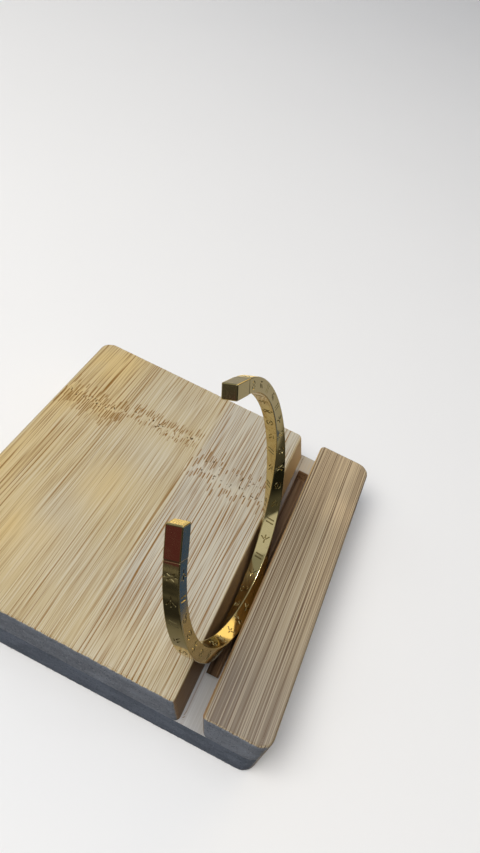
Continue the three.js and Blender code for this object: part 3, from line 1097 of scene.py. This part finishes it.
def add_wall():
    """A pale round wall, darker low down, that is only seen directly. Its foot is just below
    the floor."""
    radius, height, foot = 2.9, 3.2, -0.02
    m = glow("pale_wall")
    z = m.component(m.coordinates(), 2)
    m.set(Emission_Color=m.mix(m.ramp(z, -1.6, -0.3), (0.30, 0.31, 0.32, 1), (0.80, 0.80, 0.79, 1)))
    bpy.ops.mesh.primitive_cylinder_add(vertices=96, radius=radius, depth=height,
                                        end_fill_type="NOTHING",
                                        location=(0, 0, foot + height / 2))
    studio_wall = bpy.context.object
    studio_wall.name = "studio_wall"
    studio_wall.data.materials.append(m.mat)
    hide_from(studio_wall, "diffuse", "glossy", "transmission", "shadow")


add_floor()
add_wall()


def area(name, place, target, size, power, colour=(1, 1, 1)):
    """A square lamp at a place, turned to a target."""
    data = bpy.data.lights.new(name, "AREA")
    data.size = size
    data.energy = power
    data.color = colour
    obj = bpy.data.objects.new(name, data)
    obj.location = place
    obj.rotation_euler = (Vector(target) - Vector(place)).to_track_quat("-Z", "Y").to_euler()
    scene.collection.objects.link(obj)
    return obj


key = area("key", (-0.40, -0.38, 0.95), (0, 0, 0), 0.7, 9.4, (1.0, 0.96, 0.90))
hide_from(key, "glossy")
glint = area("glint", (0.30, 0.25, 0.92), (0, 0, 0.05), 0.05, 6.0)
hide_from(glint, "diffuse")

world = bpy.data.worlds.new("studio")
world.use_nodes = True
scene.world = world
sky = Nodes(world.node_tree)
background = sky.tree.nodes["Background"]
look = sky.coordinates("Generated")


def toward(azimuth, elevation, inner, outer):
    """1 within inner degrees of a direction, and 0 beyond outer degrees."""
    a, e = radians(azimuth), radians(elevation)
    heading = (cos(e) * cos(a), cos(e) * sin(a), sin(e))
    dot = sky.add("VectorMath", {"operation": "DOT_PRODUCT"}, i0=look, i1=heading)
    return sky.ramp(dot.outputs["Value"], cos(radians(outer)), cos(radians(inner)))


# the studio's light and dark zones: azimuth, elevation, inner and outer reach, and tone
SKY = (0.30, 0.32, 0.35, 1)
ZONES = (
    (-35, 4, 40, 78, (0.075, 0.076, 0.070, 1)),
    (-10, -2, 22, 42, (0.012, 0.013, 0.012, 1)),
    (-112, 4, 20, 45, (0.07, 0.07, 0.07, 1)),
    (-100, 80, 31, 36, (0.66, 0.70, 0.82, 1)),
    (74, 14, 13, 24, (1.7, 1.35, 0.75, 1)),
)
tone = SKY
for *zone, zone_tone in ZONES:
    tone = sky.mix(toward(*zone), tone, zone_tone)
sky.put(background.inputs["Color"], tone)
background.inputs["Strength"].default_value = 1.0


def card(material, place, size, turn=(0, 0, 0)):
    """A card that only mirror reflections see, named after its material."""
    bpy.ops.mesh.primitive_plane_add(size=1, location=place, rotation=turn)
    obj = bpy.context.object
    obj.name = material.mat.name
    obj.scale = (*size, 1)
    obj.data.materials.append(material.mat)
    hide_from(obj, "camera", "diffuse", "transmission", "shadow")


def floor_flag():
    """What reflections see of the floor: dark near by and to the right, uneven in front."""
    m = Material("floor_flag", Roughness=0.9)
    at = m.add("SeparateXYZ", Vector=m.add("NewGeometry").outputs["Position"]).outputs
    pale = m.times(m.ramp(at[1], -0.10, 0.02, 0.12, 1.0), m.ramp(at[0], 0.105, 0.16, 1.0, 0.10))
    uneven = m.ramp(m.noise((9, 60, 9), 2), 0.45, 0.60, -0.09, 0.26)
    pale = m.plus(pale, m.times(uneven, m.ramp(at[1], -0.03, -0.06)))
    m.set(Base_Color=m.mix(pale, BLACK, (0.40, 0.39, 0.36, 1)))
    return m


def blue_card():
    m = Material("blue_card", Roughness=0.9)
    patches = m.ramp(m.noise((140, 140, 140), 2, 0.6), 0.52, 0.64)
    m.set(Base_Color=m.mix(patches, (0.006, 0.060, 0.22, 1), (0.15, 0.14, 0.11, 1)))
    return m


def warm_card():
    m = glow("warm_card")
    patches = m.ramp(m.noise((55, 55, 55), 2, 0.6), 0.44, 0.62)
    m.set(Emission_Color=m.mix(patches, (0.30, 0.28, 0.22, 1), (2.6, 2.1, 1.1, 1)))
    return m


card(floor_flag(), (0, 0, 0.0003), (5, 5))
card(blue_card(), (0.083, 0.022, 0.0006), (0.058, 0.10))
card(warm_card(), (-0.036, 0.118, 0.0006), (0.075, 0.075))
card(glow("red_card", (0.105, 0.032, 0.045, 1)), (-0.022, -0.120, 0.0635), (0.032, 0.023),
     (pi / 2, 0, radians(-24)))

lens = bpy.data.cameras.new("camera")
lens.lens = 28.8
lens.clip_start = 0.005
camera = bpy.data.objects.new("camera", lens)
camera.location = (0.02331, -0.11652, 0.17308)
camera.rotation_euler = (radians(43.30), radians(-15.01), radians(21.99))
scene.collection.objects.link(camera)
scene.camera = camera
